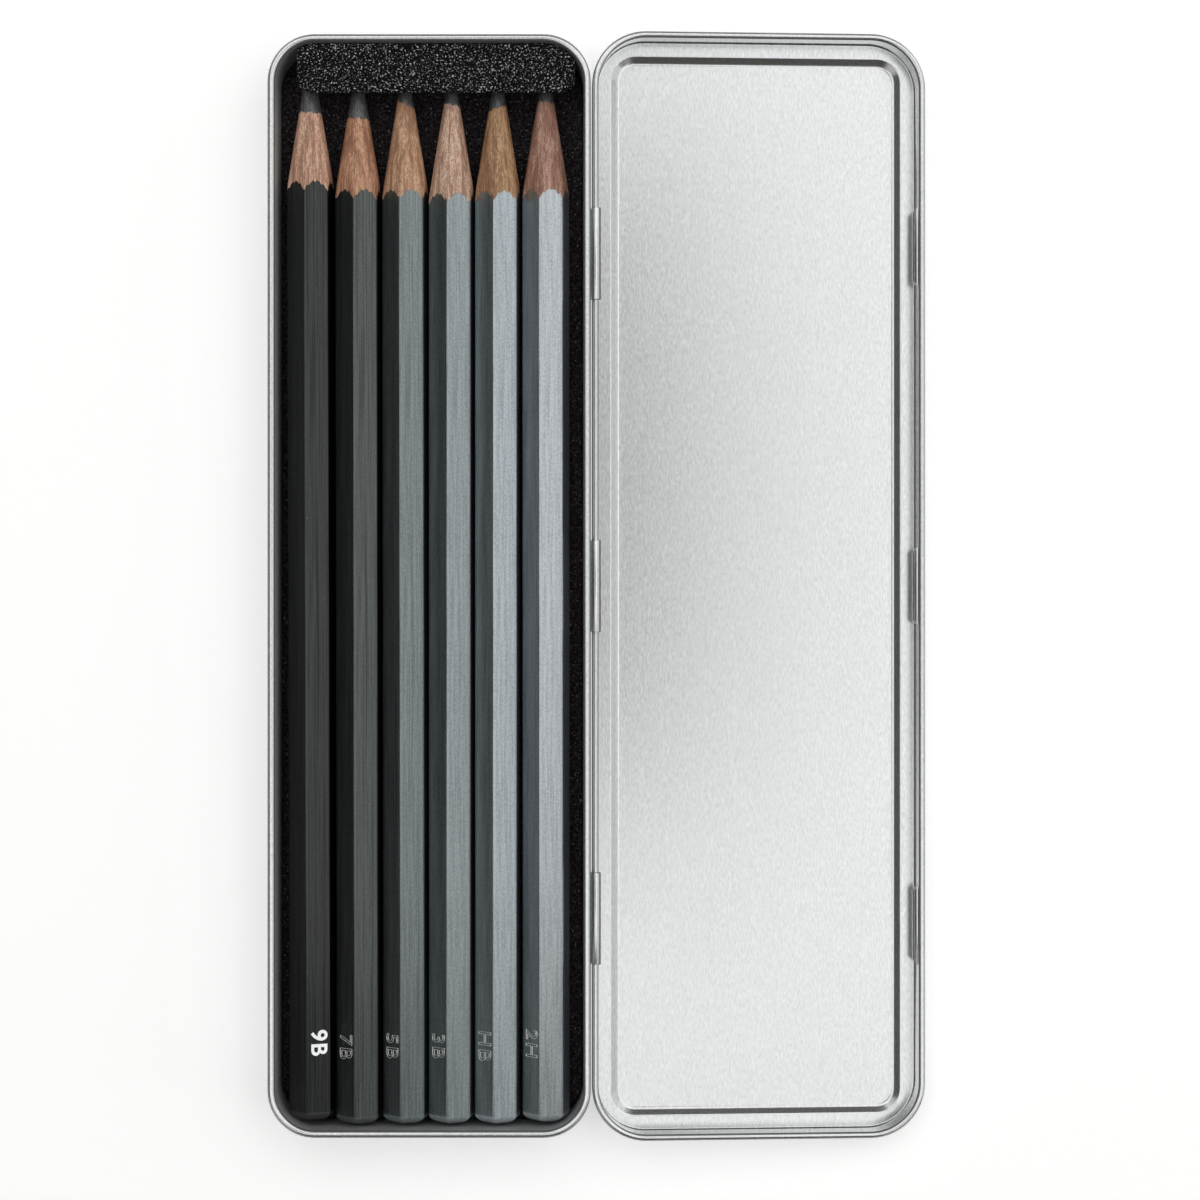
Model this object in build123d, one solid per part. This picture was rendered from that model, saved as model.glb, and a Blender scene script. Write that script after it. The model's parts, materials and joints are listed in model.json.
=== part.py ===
from build123d import *
import math
import os

# Driving dimensions, in millimetres and degrees.
# X runs from the closed side of the tray towards the opened lid, Y towards the pencil tips, Z up.
# The origin is the centre of the tray's flat underside.

# Tinplate tray
sheet = 0.3
tray_width = 52.4          # over the rolled rim, along X
tray_length = 179.0        # over the rolled rim, along Y
tray_height = 12.4
tray_corner = 7.7          # plan radius over the rolled rim
tray_curl = 1.2            # outer diameter of the rolled rim
tray_foot_bevel = 0.9
curl_turn = 270.0          # degrees of roll in every rolled edge
roll_flats = 6             # flats round the outside of a roll, each within 0.05 mm of round

# Tinplate lid
rim_gap = 0.22             # lid's skirt to the tray's rolled rim, all round
lid_curl = 1.05            # outer diameter of the lid's rolled edge, which is also the hinge pin
lid_seat_gap = 0.05        # closed lid above the tray's rim
lid_edge_bevel = 0.6
panel_border = 3.4         # outer edge of the lid to the foot of the raised panel
panel_corner = 4.1
panel_rise = 0.85
panel_run = 1.4            # plan width of the panel's sloping step

# Hinge: three tongues lanced from the tray's wall and rolled round the lid's edge
hinge_height = 8.4
knuckle_length = 15.0
knuckle_pitch = 54.3
knuckle_play = 0.075       # rolled tongue to the lid's edge
tongue_end_angle = 135.0
tongue_corner = 0.5
window_side_gap = 0.35     # knuckle to the ends of its windows
window_height = 1.0        # windows in the lid's skirt
window_base = 0.1
lance_corner = 0.4
floor_gap = 0.02           # opened lid above the table

# Snap beads pressed into the lid's far skirt
bead_length = 11.8
bead_pitch = 56.0
bead_radius = 0.95
bead_height = 10.05        # above the tray's underside, lid closed

# Foam
liner_height = 3.0
liner_gap = 0.15           # foam to the tray's walls
liner_bevel = 1.0          # lower edge of the liner, squeezed by the tray's foot
block_front = 80.0         # Y of the face that the pencils go into
block_left = -21.6
block_right = 23.7
block_top = 11.5
block_corner = 2.5
pocket_gap = 0.2           # pocket wall to a pencil, raised or lying

# Pencils
pencil_flats = 6.8         # across the flats
pencil_ease = 0.33         # how far the hexagon's corners are cut back along its sides
cone_half_angle = 9.1
point_radius = 0.21        # of the blunt point
butt_dip = 1.3             # length of the dipped end
butt_bevels = [(1.15, 1.15), (0.65, 0.5)]   # on the end face and on the side, one after another
pencil_level = 7.15        # height of the pencils' centre lines
raise_angle = 15.0         # how far a butt is raised when a pencil is picked up

# One row for each pencil, from the closed side to the hinge side: centre X at the middle of the
# tin, Y of the butt, Y where its cone would end in a sharp apex, lead diameter, roll of the top
# edge to the left, and slant in plan.
pencil_rows = [
    (-19.6, -87.3, 88.9, 3.6, 3.8, 0.17),
    (-11.9, -88.0, 87.5, 3.4, 4.1, 0.0),
    (-4.1, -87.9, 87.5, 2.5, 7.7, 0.0),
    (3.5, -87.9, 86.9, 2.5, 9.0, 0.0),
    (11.0, -87.9, 87.3, 2.6, 7.7, 0.0),
    (18.8, -87.6, 87.6, 2.6, 12.0, 0.0),
]

# Sizes that follow from the driving dimensions
bevel_loss = sheet * (2 - math.sqrt(2))    # a bevel on the inner side of a sheet of even thickness
wall_width = tray_width - 2 * tray_curl + 2 * sheet
wall_length = tray_length - 2 * tray_curl + 2 * sheet
wall_corner = tray_corner - tray_curl + sheet
curl_level = tray_height - tray_curl / 2
skirt_width = tray_width + 2 * rim_gap + 2 * sheet
skirt_length = tray_length + 2 * rim_gap + 2 * sheet
skirt_corner = tray_corner + rim_gap + sheet
lid_width = skirt_width + 2 * (lid_curl - sheet)
border_level = tray_height + lid_seat_gap + sheet
hinge_x = tray_width / 2 + rim_gap + lid_curl / 2
panel_slope = math.atan2(panel_rise, panel_run)
slope = math.radians(cone_half_angle)
tongue_inner = lid_curl / 2 + knuckle_play
tongue_outer = tongue_inner + sheet
knuckle_places = [-knuckle_pitch, 0.0, knuckle_pitch]
bead_places = [-bead_pitch, 0.0, bead_pitch]


def open_angle():
    """How far the lid turns before its raised panel meets the table, with the tray on it."""
    reach = lid_width - lid_curl / 2 - panel_border - panel_run
    depth = border_level + panel_rise - hinge_height
    radius = math.hypot(reach, depth)
    level = math.asin((hinge_height - floor_gap) / radius)
    return 180 + math.degrees(level - math.atan2(depth, reach))


def rounded_block(width, length, corner, height):
    return extrude(RectangleRounded(width, length, corner), height)


def rolled_rim(diameter, first_angle, width, length, corner, level):
    """Sheet edge rolled over from a first angle, carried round a rounded rectangle."""

    def round_points(radius, flats):
        angles = [math.radians(first_angle + curl_turn * index / flats) for index in range(flats + 1)]
        return [(width / 2 + radius * math.cos(a), level + radius * math.sin(a)) for a in angles]

    outer = round_points(diameter / 2, roll_flats)
    inner = round_points(diameter / 2 - sheet, roll_flats - 2)
    section = Plane.XZ * make_face(Polyline(*outer, *reversed(inner), close=True))
    path = Plane.XY.offset(level) * RectangleRounded(width, length, corner)
    return sweep(section, path=path.wire())


def pressed_tray():
    """Drawn tray: flat floor, bevelled foot and open top, before its rim is rolled."""
    outside = rounded_block(wall_width, wall_length, wall_corner, curl_level)
    outside = chamfer(outside.faces().sort_by(Axis.Z)[0].edges(), tray_foot_bevel)
    inside = Pos(Z=sheet) * rounded_block(
        wall_width - 2 * sheet, wall_length - 2 * sheet, wall_corner - sheet, curl_level
    )
    inside = chamfer(inside.faces().sort_by(Axis.Z)[0].edges(), tray_foot_bevel - bevel_loss)
    return outside - inside


def tongue_roll():
    """Roll of a tongue round the lid's edge, from below it to the front of its top."""
    middle_angle = (tongue_end_angle - 90) / 2

    def at(radius, angle):
        turn = math.radians(angle)
        return (hinge_x + radius * math.cos(turn), hinge_height + radius * math.sin(turn))

    def arc(radius):
        return ThreePointArc(at(radius, -90), at(radius, middle_angle), at(radius, tongue_end_angle))

    ends = [
        Line(at(tongue_outer, angle), at(tongue_inner, angle)) for angle in (-90, tongue_end_angle)
    ]
    section = Plane.XZ * make_face([arc(tongue_outer), arc(tongue_inner), *ends])
    return extrude(section, knuckle_length / 2, both=True)


def hinge_tongue():
    """Tongue of the tray's wall: out under the lid's rolled edge, up round it and over its top."""
    run_level = hinge_height - (tongue_inner + tongue_outer) / 2
    wall_inner = wall_width / 2 - sheet
    run = Pos((wall_inner + hinge_x) / 2, 0, run_level) * Box(
        hinge_x - wall_inner, knuckle_length, sheet
    )
    bend = run.edges().filter_by(Axis.Y).sort_by(lambda edge: edge.center().X - edge.center().Z)[0]
    run = fillet(bend, 0.8 * sheet)
    hook = tongue_roll()
    tip = hook.faces().sort_by(lambda face: face.center().X)[0]
    corners = [edge for edge in tip.edges() if abs(abs(edge.center().Y) - knuckle_length / 2) < 0.01]
    hook = fillet(corners, tongue_corner)
    return run + hook


def lance_window():
    """Opening left in the tray's wall where a tongue was lanced out."""
    base = hinge_height - tongue_outer
    top = curl_level - tray_curl / 2 - 0.5 * sheet
    window = Plane.YZ * RectangleRounded(
        knuckle_length + 2 * window_side_gap, top - base, lance_corner
    )
    return Pos(wall_width / 2 - 2 * sheet, 0, (top + base) / 2) * extrude(window, 3 * sheet)


def base_tray():
    tray = pressed_tray() + rolled_rim(
        tray_curl,
        180 - curl_turn,
        tray_width - tray_curl,
        tray_length - tray_curl,
        tray_corner - tray_curl / 2,
        curl_level,
    )
    tray -= [Pos(Y=place) * lance_window() for place in knuckle_places]
    tray += [Pos(Y=place) * hinge_tongue() for place in knuckle_places]
    return tray


def lid_form(inset):
    """The closed lid as a filled form, drawn in by an inset: skirt, border and raised panel."""
    top = border_level - inset
    block = Pos(Z=hinge_height) * rounded_block(
        skirt_width - 2 * inset, skirt_length - 2 * inset, skirt_corner - inset, top - hinge_height
    )
    bevel = lid_edge_bevel - bevel_loss * inset / sheet
    block = chamfer(block.faces().sort_by(Axis.Z)[-1].edges(), bevel)
    shift = panel_border + inset * math.tan(panel_slope / 2)
    length = lid_width - skirt_width + skirt_length
    foot = RectangleRounded(
        lid_width - 2 * shift, length - 2 * shift, panel_corner - shift + panel_border
    )
    crest = RectangleRounded(
        lid_width - 2 * shift - 2 * panel_run,
        length - 2 * shift - 2 * panel_run,
        panel_corner - shift + panel_border - panel_run,
    )
    return block + loft([Pos(Z=top) * foot, Pos(Z=top + panel_rise) * crest])


def skirt_window():
    """Opening in the lid's rear skirt that a rolled tongue passes through as the lid swings."""
    window = Plane.YZ * Rectangle(knuckle_length + 2 * window_side_gap, window_height)
    centre_z = hinge_height + window_base + window_height / 2
    return Pos(skirt_width / 2 - 2 * sheet, 0, centre_z) * extrude(window, 3 * sheet)


def bead_form(radius, length):
    """Half-round ridge along Y on the +X side, its ends sloping away."""
    end = length / 2
    plan = Polyline((0, -end), (radius, radius - end), (radius, end - radius), (0, end), close=True)
    return Cylinder(radius, length, rotation=(90, 0, 0)) & extrude(make_face(plan), radius, both=True)


def lid():
    """Lid, made closed over the tray and then swung open on to the table."""
    cover = lid_form(0) - lid_form(sheet)
    ridge = bead_form(bead_radius, bead_length)
    dent = bead_form(bead_radius - sheet, bead_length - 2 * sheet)
    for place in bead_places:
        bead = Pos((sheet - skirt_width) / 2, place, bead_height)
        opening = Pos(X=-sheet) * Box(
            2 * sheet, bead_length - 2 * sheet, 2 * (bead_radius - sheet)
        )
        cover = cover + bead * ridge - bead * (dent + opening)
    cover += rolled_rim(
        lid_curl,
        -180,
        2 * hinge_x,
        skirt_length - 2 * sheet + lid_curl,
        skirt_corner - sheet + lid_curl / 2,
        hinge_height,
    )
    cover -= [Pos(Y=place) * skirt_window() for place in knuckle_places]
    hinge = Axis((hinge_x, 0, hinge_height), (0, 1, 0))
    return cover.rotate(hinge, open_angle())


def foam_liner():
    """Foam sheet on the tray's floor."""
    inner = 2 * (sheet + liner_gap)
    pad = Pos(Z=sheet) * rounded_block(
        wall_width - inner, wall_length - inner, wall_corner - inner / 2, liner_height
    )
    return chamfer(pad.faces().sort_by(Axis.Z)[0].edges(), liner_bevel)


def tip_foam():
    """Foam block across the tips, with a flared pocket for each pencil, open to the front."""
    base = sheet + liner_height
    back = wall_length / 2 - sheet - liner_gap
    width = block_right - block_left
    depth = back - block_front
    middle_y = (back + block_front) / 2
    block = Pos((block_left + block_right) / 2, middle_y, base) * Box(
        width, depth, block_top - base, align=(Align.CENTER, Align.CENTER, Align.MIN)
    )
    front = block.edges().filter_by(Axis.Z).group_by(Axis.Y)[0]
    block = fillet(front, block_corner)
    inner = 2 * (sheet + liner_gap)
    block &= rounded_block(
        wall_width - inner, wall_length - inner, wall_corner - inner / 2, tray_height
    )
    for row in pencil_rows:
        block -= tip_pocket(row)
    return block


def tip_pocket(row):
    """Room for a pencil's point, from its lying to its raised place, flared towards the front."""
    centre_x, _, apex_y, _, _, slant = row
    tip_y = point_end(apex_y)
    tip_x = centre_x - math.tan(math.radians(slant)) * tip_y
    deep = tip_y + 2 * pocket_gap
    mouth = block_front - 1
    small = point_radius + pocket_gap
    wide = math.tan(slope) * (apex_y - mouth) + pocket_gap
    top = (tip_y - mouth) * math.tan(slope + math.radians(raise_angle)) + small
    plan = Polyline(
        (tip_x - wide, mouth),
        (tip_x + wide, mouth),
        (tip_x + small, deep),
        (tip_x - small, deep),
        close=True,
    )
    side = Polyline((mouth, -wide), (mouth, top), (deep, small), (deep, -small), close=True)
    plan_bar = Pos(Z=pencil_level) * extrude(make_face(plan), block_top, both=True)
    side_bar = extrude(Plane.YZ * make_face(side), 2 * wide, both=True)
    return plan_bar & Pos(tip_x, 0, pencil_level) * side_bar


def point_end(apex_y):
    """Y of the blunt point of a cone whose sharp apex would be at apex_y."""
    return apex_y - point_radius / math.tan(slope)


def hexagon(flats):
    """Hexagon with one corner towards -Y, which becomes up once a pencil lies down."""
    return Rot(Z=30) * RegularPolygon(flats / math.sqrt(3), 6)


def bevelled_butt():
    """Hexagonal blank whose end is rounded off by one bevel after another."""
    blank = extrude(hexagon(pencil_flats), butt_dip)
    for on_end, on_side in butt_bevels:
        end = blank.faces().sort_by(Axis.Z)[0]
        blank = chamfer(end.edges(), on_end, on_side, reference=end)
    return blank


def pencil_pieces(number, row):
    """Two glued and lacquered wood slats, lead and dipped end of one pencil, by node name."""
    centre_x, butt_y, apex_y, lead, roll, slant = row
    length = apex_y - butt_y
    upright = (Align.CENTER, Align.CENTER, Align.MIN)
    bar = extrude(chamfer(hexagon(pencil_flats).vertices(), pencil_ease), length)
    cone_radius = length * math.tan(slope)
    cone = Cone(cone_radius, point_radius, point_end(length), align=upright)
    beyond_dip = cone & Pos(Z=butt_dip) * Cylinder(pencil_flats, length, align=upright)
    core = Cylinder(lead / 2, length, align=upright)
    wood = (bar - core) & beyond_dip
    half = Pos(X=pencil_flats / 2) * Box(pencil_flats, 2 * pencil_flats, 3 * length)
    pieces = {
        "right_slat": wood & half,
        "left_slat": wood - half,
        "lead": core & beyond_dip,
        "dipped_end": bar & bevelled_butt(),
    }
    place = Pos(centre_x, 0, pencil_level) * Rot(Z=slant) * Pos(Y=butt_y) * Rot(Y=-roll) * Rot(X=-90)
    return {f"pencil_{number}_{name}": place * piece for name, piece in pieces.items()}


def all_nodes():
    nodes = {
        "base_tray": base_tray(),
        "lid": lid(),
        "foam_liner": foam_liner(),
        "tip_foam": tip_foam(),
    }
    for number, row in enumerate(pencil_rows, start=1):
        nodes.update(pencil_pieces(number, row))
    return nodes


os.makedirs("parts", exist_ok=True)
for node, shape in all_nodes().items():
    export_step(shape, f"parts/{node}.step")
print("lid opens", round(open_angle(), 3), "degrees about x", round(hinge_x, 3), "z", hinge_height)
for row in pencil_rows:
    print("pencil point at y", round(point_end(row[2]), 3))
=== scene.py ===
import json
import math
from collections import namedtuple

import bmesh
import bpy
from mathutils import Matrix, Vector


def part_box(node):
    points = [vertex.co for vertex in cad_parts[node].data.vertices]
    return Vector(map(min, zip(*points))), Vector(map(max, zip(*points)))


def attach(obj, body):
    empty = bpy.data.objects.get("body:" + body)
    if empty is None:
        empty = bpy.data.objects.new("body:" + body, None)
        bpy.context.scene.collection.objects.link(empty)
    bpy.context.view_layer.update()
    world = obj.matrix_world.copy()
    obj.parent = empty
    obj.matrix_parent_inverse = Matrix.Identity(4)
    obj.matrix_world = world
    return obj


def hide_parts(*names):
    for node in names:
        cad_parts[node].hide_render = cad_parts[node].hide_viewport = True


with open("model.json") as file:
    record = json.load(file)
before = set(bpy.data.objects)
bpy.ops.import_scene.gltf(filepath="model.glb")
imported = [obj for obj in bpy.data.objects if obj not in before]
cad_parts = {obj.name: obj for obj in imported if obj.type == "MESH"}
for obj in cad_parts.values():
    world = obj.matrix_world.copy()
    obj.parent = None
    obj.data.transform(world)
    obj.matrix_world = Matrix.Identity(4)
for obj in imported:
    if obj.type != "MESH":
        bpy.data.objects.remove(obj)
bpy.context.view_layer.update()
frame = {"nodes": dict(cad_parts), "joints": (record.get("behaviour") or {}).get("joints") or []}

# The pencil tin, dressed over its frame. Values are in millimetres and degrees; meshes are made
# in millimetres and scaled to metres when they are finished.
MM = 0.001
tray_low, tray_high = (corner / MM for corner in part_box("base_tray"))
lid_hinge = next(joint for joint in frame["joints"] if joint["name"] == "lid_hinge")
hinge_x = lid_hinge["pos_m"][0] / MM
hinge_height = lid_hinge["pos_m"][2] / MM
open_angle = -lid_hinge["range_deg"][0]

# Sheet and rolled edges
sheet = 0.3
tray_width = -2 * tray_low.x
tray_length = tray_high.y - tray_low.y
tray_height = tray_high.z
tray_corner = 7.7
tray_roll = 1.2
lid_roll = 1.05
roll_turn = 270
roll_margin = 0.01
foot_radius = 1.5
cap_inset = 0.6
rim_gap = 0.22
corner_steps = 14
arc_steps = 6
outer_roll_steps = 20
inner_roll_steps = 12
# Any level on the straight part of the walls, towards which the corners at their ends are rounded
wall_middle = 9

# Lid
seat_gap = 0.05
border_level = tray_height + seat_gap + sheet
panel_rise = 0.85
panel_run = 1.06
panel_border = 3.3
panel_corner = 4.1
edge_radius = 0.55
crest_radius = 1.2
crest_ease = 0.1
step_foot_radius = 0.1
panel_inset = 1.6

# Hinge knuckles and snap beads, three of each
repeats = 3
knuckle_length = 15.0
knuckle_pitch = 54.3
knuckle_play = 0.075
knuckle_end = 135
knuckle_corner = 0.5
window_gap = 0.35
window_height = 1.0
window_sill = 0.1
bead_length = 13.2
bead_pitch = 56.0
bead_radius = 0.95
bead_height = 10.05
bead_steps = 12
cut_edge = 0.04
knuckle_edge = 0.06
knuckle_steps = 24
knuckle_end_steps = 7

# Pencils
flats = 6.95
corner_round = 0.35
cone_angle = 9.2
scallop_share = 0.475
torn_edge = 0.16
point_radius = 0.21
tip_ease = 0.02
tip_share = 0.6
dome_depth = 1.65
lacquer_film = 0.05
wood_share = 1 - lacquer_film / 3.5
pencil_level = 7.15
flat_steps = 16
bore_play = 0.05
lead_fit = 0.98
dome_shares = (0.12, 0.3, 0.48, 0.63, 0.76, 0.86, 0.93, 0.975, 1.0)
cone_shares = (0.0, 0.2, 0.4, 0.6, 0.8, 1.0)
point_shares = (0.0, 0.3, 0.6, 0.85, 0.95)
core_waves = ((7, 0.022), (19, 0.016))
scallop_waves = ((23, 1.0), (41, 0.7))
pencil_smooth_angle = 25
grade_place = 13.0
grade_size = 3.7
grade_spacing = 1.15
outline_radius = 0.06
foil_depth, foil_spread, foil_edge = 0.012, 0.07, 0.02
# Each pencil's X at the tin's middle, Y of its sharp apex, lead diameter, roll and slant, how far
# its lead is off centre and towards which side, its lacquer and how deep the streaks in it are,
# its wood, and its grade.
Pencil = namedtuple(
    "Pencil", "middle_x apex_y lead roll slant off_centre off_side lacquer streaks wood grade"
)
pencils = [
    Pencil(-19.5, 88.9, 3.75, 10.0, 0.17, 0.02, 0, (0.040, 0.044, 0.042), 0.75, (0.90, 0.58, 0.425), "9B"),
    Pencil(-11.78, 87.5, 3.6, 6.7, 0.08, 0.02, 0, (0.092, 0.104, 0.101), 0.6, (0.735, 0.41, 0.262), "7B"),
    Pencil(-4.05, 87.5, 2.8, 10.7, 0.08, 0.12, 0, (0.190, 0.218, 0.224), 0.3, (0.79, 0.49, 0.31), "5B"),
    Pencil(3.45, 86.9, 2.65, 8.6, 0.0, 0.05, 0, (0.288, 0.328, 0.340), 0.1, (0.87, 0.61, 0.465), "3B"),
    Pencil(11.0, 87.3, 3.0, 8.5, 0.0, 0.08, 180, (0.410, 0.460, 0.488), 0.05, (0.63, 0.395, 0.217), "HB"),
    Pencil(18.88, 87.6, 2.75, 15.0, 0.03, 0.03, 0, (0.415, 0.445, 0.468), 0.05, (0.64, 0.385, 0.295), "2H"),
]

# Foam
block_lean = 0.19
lean_reach = 5.0
foam_smooth_angle = 60

# Colours and finishes
tin_dark, tin_light = (0.603, 0.612, 0.617), (0.736, 0.748, 0.755)
# The last colour on the next line is painted shade: a dark outline painted along the outer sides of the
# rolled edges.
tin_cloud, tin_speck, tin_edge_shade = (0.60, 0.60, 0.595), (0.40, 0.40, 0.39), (0.05, 0.05, 0.047)
tin_roughness = (0.225, 0.255)
tin_metal = 0.94
# How far a rolled edge's surface must face sideways before its painted dark outline begins, and how fast
# that outline fades in.
edge_shade_slope, edge_shade_fade = 0.82, 0.3
wall_slope = 0.6
glue_line = (0.10, 0.06, 0.04)
lacquer_speck = (0.55, 0.55, 0.54)
graphite_dark, graphite_light = (0.05, 0.05, 0.052), (0.17, 0.17, 0.175)

# Sizes that follow
core_line = tray_width / 2 - tray_corner
panel_core_line = hinge_x + lid_roll / 2 - panel_border - panel_corner
stretch = tray_length - tray_width
wall_inner = tray_width / 2 - tray_roll
roll_level = tray_height - tray_roll / 2
skirt_outer = tray_width / 2 + rim_gap + sheet
step_slope = math.atan2(panel_rise, panel_run)
cone_slope = math.tan(math.radians(cone_angle))


def finish_piece(name, mesh, material, body):
    """Object at the origin with its mesh in metres, riding on a body."""
    if material:
        mesh.materials.append(material)
    piece = bpy.data.objects.new(name, mesh)
    bpy.context.scene.collection.objects.link(piece)
    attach(piece, body)
    return piece


def settle(name, source, smooth_angle=35):
    """Plain mesh of an object with all its modifiers, smooth but for its sharp edges."""
    bpy.context.view_layer.update()
    graph = bpy.context.evaluated_depsgraph_get()
    mesh = bpy.data.meshes.new_from_object(source.evaluated_get(graph))
    mesh.name = name
    bpy.data.objects.remove(source)
    mesh.shade_smooth()
    mesh.set_sharp_from_angle(angle=math.radians(smooth_angle))
    return mesh


def mark_edge_shade_and_walls(mesh, on_roll):
    """Stores where rolled edges face sideways, which get painted shade as a dark outline, and where a wall
    faces inwards.
    """
    sideways, inner = [], []
    for vertex in mesh.vertices:
        rolled = on_roll(vertex.co / MM)
        facing = abs(vertex.normal.z)
        inwards = vertex.normal.x * vertex.co.x + vertex.normal.y * vertex.co.y < 0
        # The sideways share is painted shade: it darkens the outer sides of the rolls into a dark outline.
        sideways.append(max(0.0, min(1.0, (edge_shade_slope - facing) / edge_shade_fade)) if rolled else 0.0)
        inner.append(1.0 if inwards and not rolled and facing < wall_slope else 0.0)
    for name, values in (("painted_edge_shade", sideways), ("inner_wall", inner)):
        mesh.attributes.new(name, "FLOAT", "POINT").data.foreach_set("value", values)


def draft(name, vertices, faces):
    """Working object with a merged mesh whose faces point outwards."""
    mesh = bpy.data.meshes.new(name)
    mesh.from_pydata([Vector(v) * MM for v in vertices], [], faces)
    form = bmesh.new()
    form.from_mesh(mesh)
    bmesh.ops.remove_doubles(form, verts=form.verts, dist=1e-7)
    bmesh.ops.recalc_face_normals(form, faces=form.faces)
    form.to_mesh(mesh)
    form.free()
    piece = bpy.data.objects.new(name, mesh)
    bpy.context.scene.collection.objects.link(piece)
    return piece


def arc(centre_x, centre_z, radius, start, end, steps=arc_steps):
    """Points round part of a circle in a section, from one angle to another."""
    angles = [math.radians(start + (end - start) * i / steps) for i in range(steps + 1)]
    return [(centre_x + radius * math.cos(a), centre_z + radius * math.sin(a)) for a in angles]


def rounded(before, corner, after, radius, steps=arc_steps):
    """Points of the arc that rounds a section's corner between two neighbours."""
    here, back, ahead = Vector(corner), Vector(before), Vector(after)
    to_back, to_ahead = (back - here).normalized(), (ahead - here).normalized()
    half = to_back.angle(to_ahead) / 2
    reach = radius / math.tan(half)
    first, last = here + to_back * reach, here + to_ahead * reach
    centre = here + (to_back + to_ahead).normalized() * (radius / math.sin(half))
    start = first - centre
    turn = start.angle_signed(last - centre)
    points = []
    for index in range(steps + 1):
        offset = start.copy()
        offset.rotate(Matrix.Rotation(-turn * index / steps, 2))
        points.append(tuple(centre + offset))
    return points


def plan_ring(half_width, level, core):
    """Rounded rectangle at one level, its corners centred on a core line."""
    radius = half_width - core
    centre_x, centre_y = half_width - radius, half_width + stretch / 2 - radius
    ring = []
    for quarter, (side_x, side_y) in enumerate(((1, 1), (-1, 1), (-1, -1), (1, -1))):
        for step in range(corner_steps + 1):
            angle = math.pi / 2 * (quarter + step / corner_steps)
            x = side_x * centre_x + radius * math.cos(angle)
            y = side_y * centre_y + radius * math.sin(angle)
            ring.append((x, y, level))
    return ring


def closed_skin(name, rings):
    """Working object from rings of equal count, one after another, with both ends closed."""
    count = len(rings[0])
    vertices = [vertex for ring in rings for vertex in ring]
    starts = range(0, len(vertices), count)
    faces = []
    for low, high in zip(starts, starts[1:]):
        for index in range(count):
            after = (index + 1) % count
            faces.append((low + index, low + after, high + after, high + index))
    for end in (starts[0], starts[-1]):
        faces.append(tuple(range(end, end + count)))
    return draft(name, vertices, faces)


def pressed_sheet(name, section):
    """Closed sheet form carried round the tin's plan, from (half width, level, core) points."""
    return closed_skin(name, [plan_ring(*point) for point in section])


def tray_section():
    """The tray's sheet from the middle of its floor, up the inside, round the rim and back."""
    cap = wall_inner - foot_radius - cap_inset
    wall_outer = wall_inner + sheet
    rim_x = wall_inner + tray_roll / 2
    inside = [(cap, sheet)]
    inside += rounded((0, sheet), (wall_inner, sheet), (wall_inner, wall_middle), foot_radius - sheet)
    around = arc(rim_x, roll_level, tray_roll / 2, 180, 180 - roll_turn, outer_roll_steps)
    within = arc(rim_x, roll_level, tray_roll / 2 - sheet, 180 - roll_turn, 180, inner_roll_steps)
    outside = rounded((wall_outer, wall_middle), (wall_outer, 0), (0, 0), foot_radius)
    outside.append((cap, 0))
    return [(x, z, core_line) for x, z in inside + around + within + outside]


def lid_section():
    """The closed lid's sheet from the middle of its inside, down the skirt, round and back."""
    skirt_inner = skirt_outer - sheet
    shift = sheet * math.tan(step_slope / 2)
    foot_x = hinge_x + lid_roll / 2 - panel_border
    crest_x = foot_x - panel_run
    top = border_level + panel_rise
    in_crest, in_foot = (crest_x - shift, top - sheet), (foot_x - shift, border_level - sheet)
    in_edge = (skirt_inner, border_level - sheet)
    inner_crest_radius = crest_radius - sheet + crest_ease
    inner_panel = [(crest_x - panel_inset, top - sheet)]
    inner_panel += rounded((0, top - sheet), in_crest, in_foot, inner_crest_radius)
    inner_panel += rounded(in_crest, in_foot, in_edge, step_foot_radius + sheet)
    inner_skirt = rounded(in_foot, in_edge, (skirt_inner, wall_middle), edge_radius - sheet)
    around = arc(hinge_x, hinge_height, lid_roll / 2, -180, roll_turn - 180, outer_roll_steps)
    within = arc(hinge_x, hinge_height, lid_roll / 2 - sheet, roll_turn - 180, -180, inner_roll_steps)
    edge, foot, crest = (skirt_outer, border_level), (foot_x, border_level), (crest_x, top)
    outer_skirt = rounded((skirt_outer, wall_middle), edge, foot, edge_radius)
    outer_panel = rounded(edge, foot, crest, step_foot_radius)
    outer_panel += rounded(foot, crest, (0, top), crest_radius)
    outer_panel.append((crest_x - panel_inset, top))
    return (
        [(x, z, panel_core_line) for x, z in inner_panel]
        + [(x, z, core_line) for x, z in inner_skirt + around + within + outer_skirt]
        + [(x, z, panel_core_line) for x, z in outer_panel]
    )


def block(size, centre):
    """Corners and faces of a box."""
    corners = [
        [centre[axis] + size[axis] / 2 * (1 if index >> axis & 1 else -1) for axis in range(3)]
        for index in range(8)
    ]
    faces = [(0, 2, 3, 1), (4, 5, 7, 6), (0, 1, 5, 4), (2, 6, 7, 3), (0, 4, 6, 2), (1, 3, 7, 5)]
    return corners, faces


def geometry_tree(name, inputs):
    """Empty Geometry Nodes tree with named inputs, and its input node."""
    tree = bpy.data.node_groups.new(name, "GeometryNodeTree")
    for socket, kind in (("Geometry", "Geometry"), *inputs, ("Material", "Material")):
        tree.interface.new_socket(socket, in_out="INPUT", socket_type=f"NodeSocket{kind}")
    tree.interface.new_socket("Geometry", in_out="OUTPUT", socket_type="NodeSocketGeometry")
    return tree, tree.nodes.new("NodeGroupInput")


def close_tree(tree, entry, geometry):
    """Ends a tree with plain geometry in the material that it was given."""
    real = tree.nodes.new("GeometryNodeRealizeInstances")
    paint = tree.nodes.new("GeometryNodeSetMaterial")
    tree.links.new(geometry, real.inputs[0])
    tree.links.new(real.outputs[0], paint.inputs["Geometry"])
    tree.links.new(entry.outputs["Material"], paint.inputs["Material"])
    tree.links.new(paint.outputs[0], tree.nodes.new("NodeGroupOutput").inputs[0])
    return tree


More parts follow.
